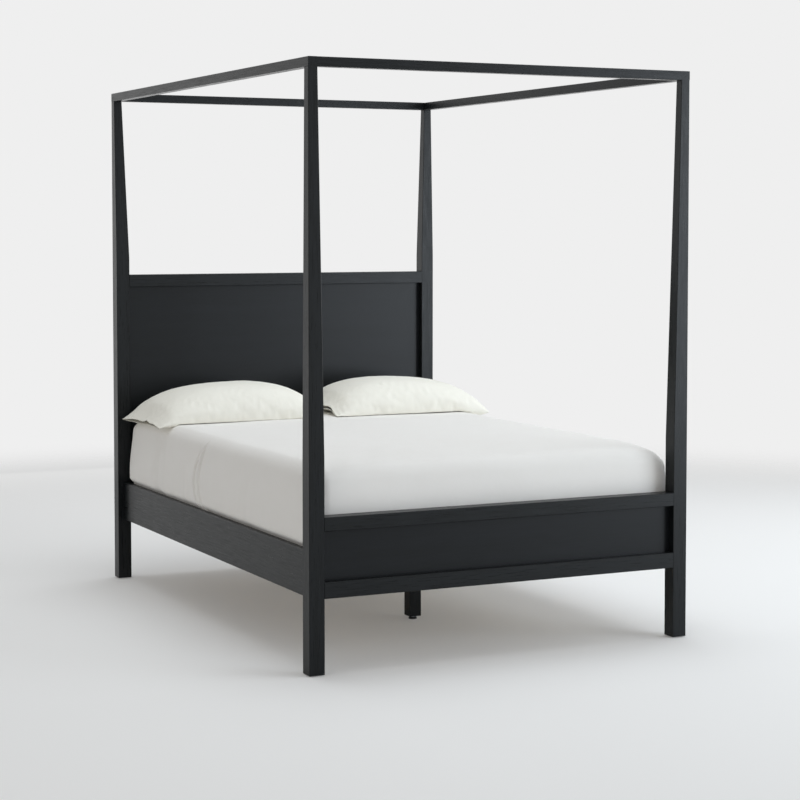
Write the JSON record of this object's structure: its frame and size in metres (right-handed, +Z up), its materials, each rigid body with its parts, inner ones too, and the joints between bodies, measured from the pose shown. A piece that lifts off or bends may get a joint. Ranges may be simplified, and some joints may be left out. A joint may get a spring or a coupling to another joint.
{
  "type": "four poster canopy bed",
  "caption": "Wooden four poster bed with tapered posts, a plain rectangular canopy frame, panelled headboard and footboard, slatted base, centre support legs, mattress and pillows.",
  "frame": {"origin": "on the floor, in the middle of the bed's length and width", "axes": "+Y from the foot to the head, +X to the right as seen from the foot, +Z up"},
  "size_m": [1.514, 2.126, 2.081],
  "materials": {
    "charcoal_wood": "satin charcoal-black stain over fine straight grain",
    "slat_wood": "plain sanded softwood",
    "zinc_steel": "zinc-plated steel",
    "black_plastic": "black moulded nylon",
    "mattress_ticking": "white ticking",
    "sheet_cotton": "white cotton sheet",
    "pillow_ticking": "white cotton ticking",
    "pillowcase_cotton": "warm white cotton",
    "woven_tape": "plain woven cotton tape"
  },
  "bodies": {
    "bed_frame": {"beam_hangers": "zinc_steel", "canopy_corner_plates": "zinc_steel", "canopy_foot_rail": "charcoal_wood", "canopy_head_rail": "charcoal_wood", "canopy_side_rail_left": "charcoal_wood", "canopy_side_rail_right": "charcoal_wood", "centre_beam": "charcoal_wood", "centre_leg_bolts": "zinc_steel", "centre_leg_foot": "charcoal_wood", "centre_leg_head": "charcoal_wood", "footboard_bottom_rail": "charcoal_wood", "footboard_panel": "charcoal_wood", "footboard_top_rail": "charcoal_wood", "headboard_bottom_rail": "charcoal_wood", "headboard_panel": "charcoal_wood", "headboard_top_rail": "charcoal_wood", "leveller_nuts": "zinc_steel", "post_foot_left": "charcoal_wood", "post_foot_right": "charcoal_wood", "post_glides": "black_plastic", "post_head_left": "charcoal_wood", "post_head_right": "charcoal_wood", "post_slot_plates": "zinc_steel", "rail_hook_plates": "zinc_steel", "side_rail_left": "charcoal_wood", "side_rail_right": "charcoal_wood", "slat_01": "slat_wood", "slat_02": "slat_wood", "slat_03": "slat_wood", "slat_04": "slat_wood", "slat_05": "slat_wood", "slat_06": "slat_wood", "slat_07": "slat_wood", "slat_08": "slat_wood", "slat_09": "slat_wood", "slat_10": "slat_wood", "slat_11": "slat_wood", "slat_12": "slat_wood", "slat_13": "slat_wood", "slat_ledger_left": "charcoal_wood", "slat_ledger_right": "charcoal_wood", "slat_tapes": "woven_tape"},
    "leveller_pad_foot_body": {"leveller_pad_foot": "black_plastic"},
    "leveller_stem_foot_body": {"leveller_stem_foot": "zinc_steel"},
    "leveller_pad_head_body": {"leveller_pad_head": "black_plastic"},
    "leveller_stem_head_body": {"leveller_stem_head": "zinc_steel"},
    "bedding": {"mattress": "mattress_ticking", "fitted_sheet": "sheet_cotton"},
    "pillow_left_body": {"pillow_left": "pillow_ticking", "pillowcase_left": "pillowcase_cotton"},
    "pillow_right_body": {"pillow_right": "pillow_ticking", "pillowcase_right": "pillowcase_cotton"}
  },
  "joints": [
    {"name": "leveller_foot_travel", "type": "slide", "parent": "bed_frame", "child": "leveller_pad_foot_body", "axis": [0, 0, -1], "range_m": [-0.0009, 0.012]},
    {"name": "leveller_foot_turn", "type": "hinge", "parent": "leveller_pad_foot_body", "child": "leveller_stem_foot_body", "pos_m": [0, -0.315, 0.02], "axis": [0, 0, -1], "range_deg": [-260, 3457]},
    {"name": "leveller_head_travel", "type": "slide", "parent": "bed_frame", "child": "leveller_pad_head_body", "axis": [0, 0, -1], "range_m": [-0.0009, 0.012]},
    {"name": "leveller_head_turn", "type": "hinge", "parent": "leveller_pad_head_body", "child": "leveller_stem_head_body", "pos_m": [0, 0.315, 0.02], "axis": [0, 0, -1], "range_deg": [-260, 3457]},
    {"name": "mattress_lift", "type": "slide", "parent": "bed_frame", "child": "bedding", "axis": [0, 0, 1], "range_m": [0, 0.3]},
    {"name": "pillow_left_lift", "type": "slide", "parent": "bedding", "child": "pillow_left_body", "axis": [0, 0, 1], "range_m": [0, 0.25]},
    {"name": "pillow_right_lift", "type": "slide", "parent": "bedding", "child": "pillow_right_body", "axis": [0, 0, 1], "range_m": [0, 0.25]}
  ],
  "couplings": [
    {"joint": "leveller_foot_turn", "follows": "leveller_foot_travel", "rad_per_m": 5026.5},
    {"joint": "leveller_head_turn", "follows": "leveller_head_travel", "rad_per_m": 5026.5}
  ]
}
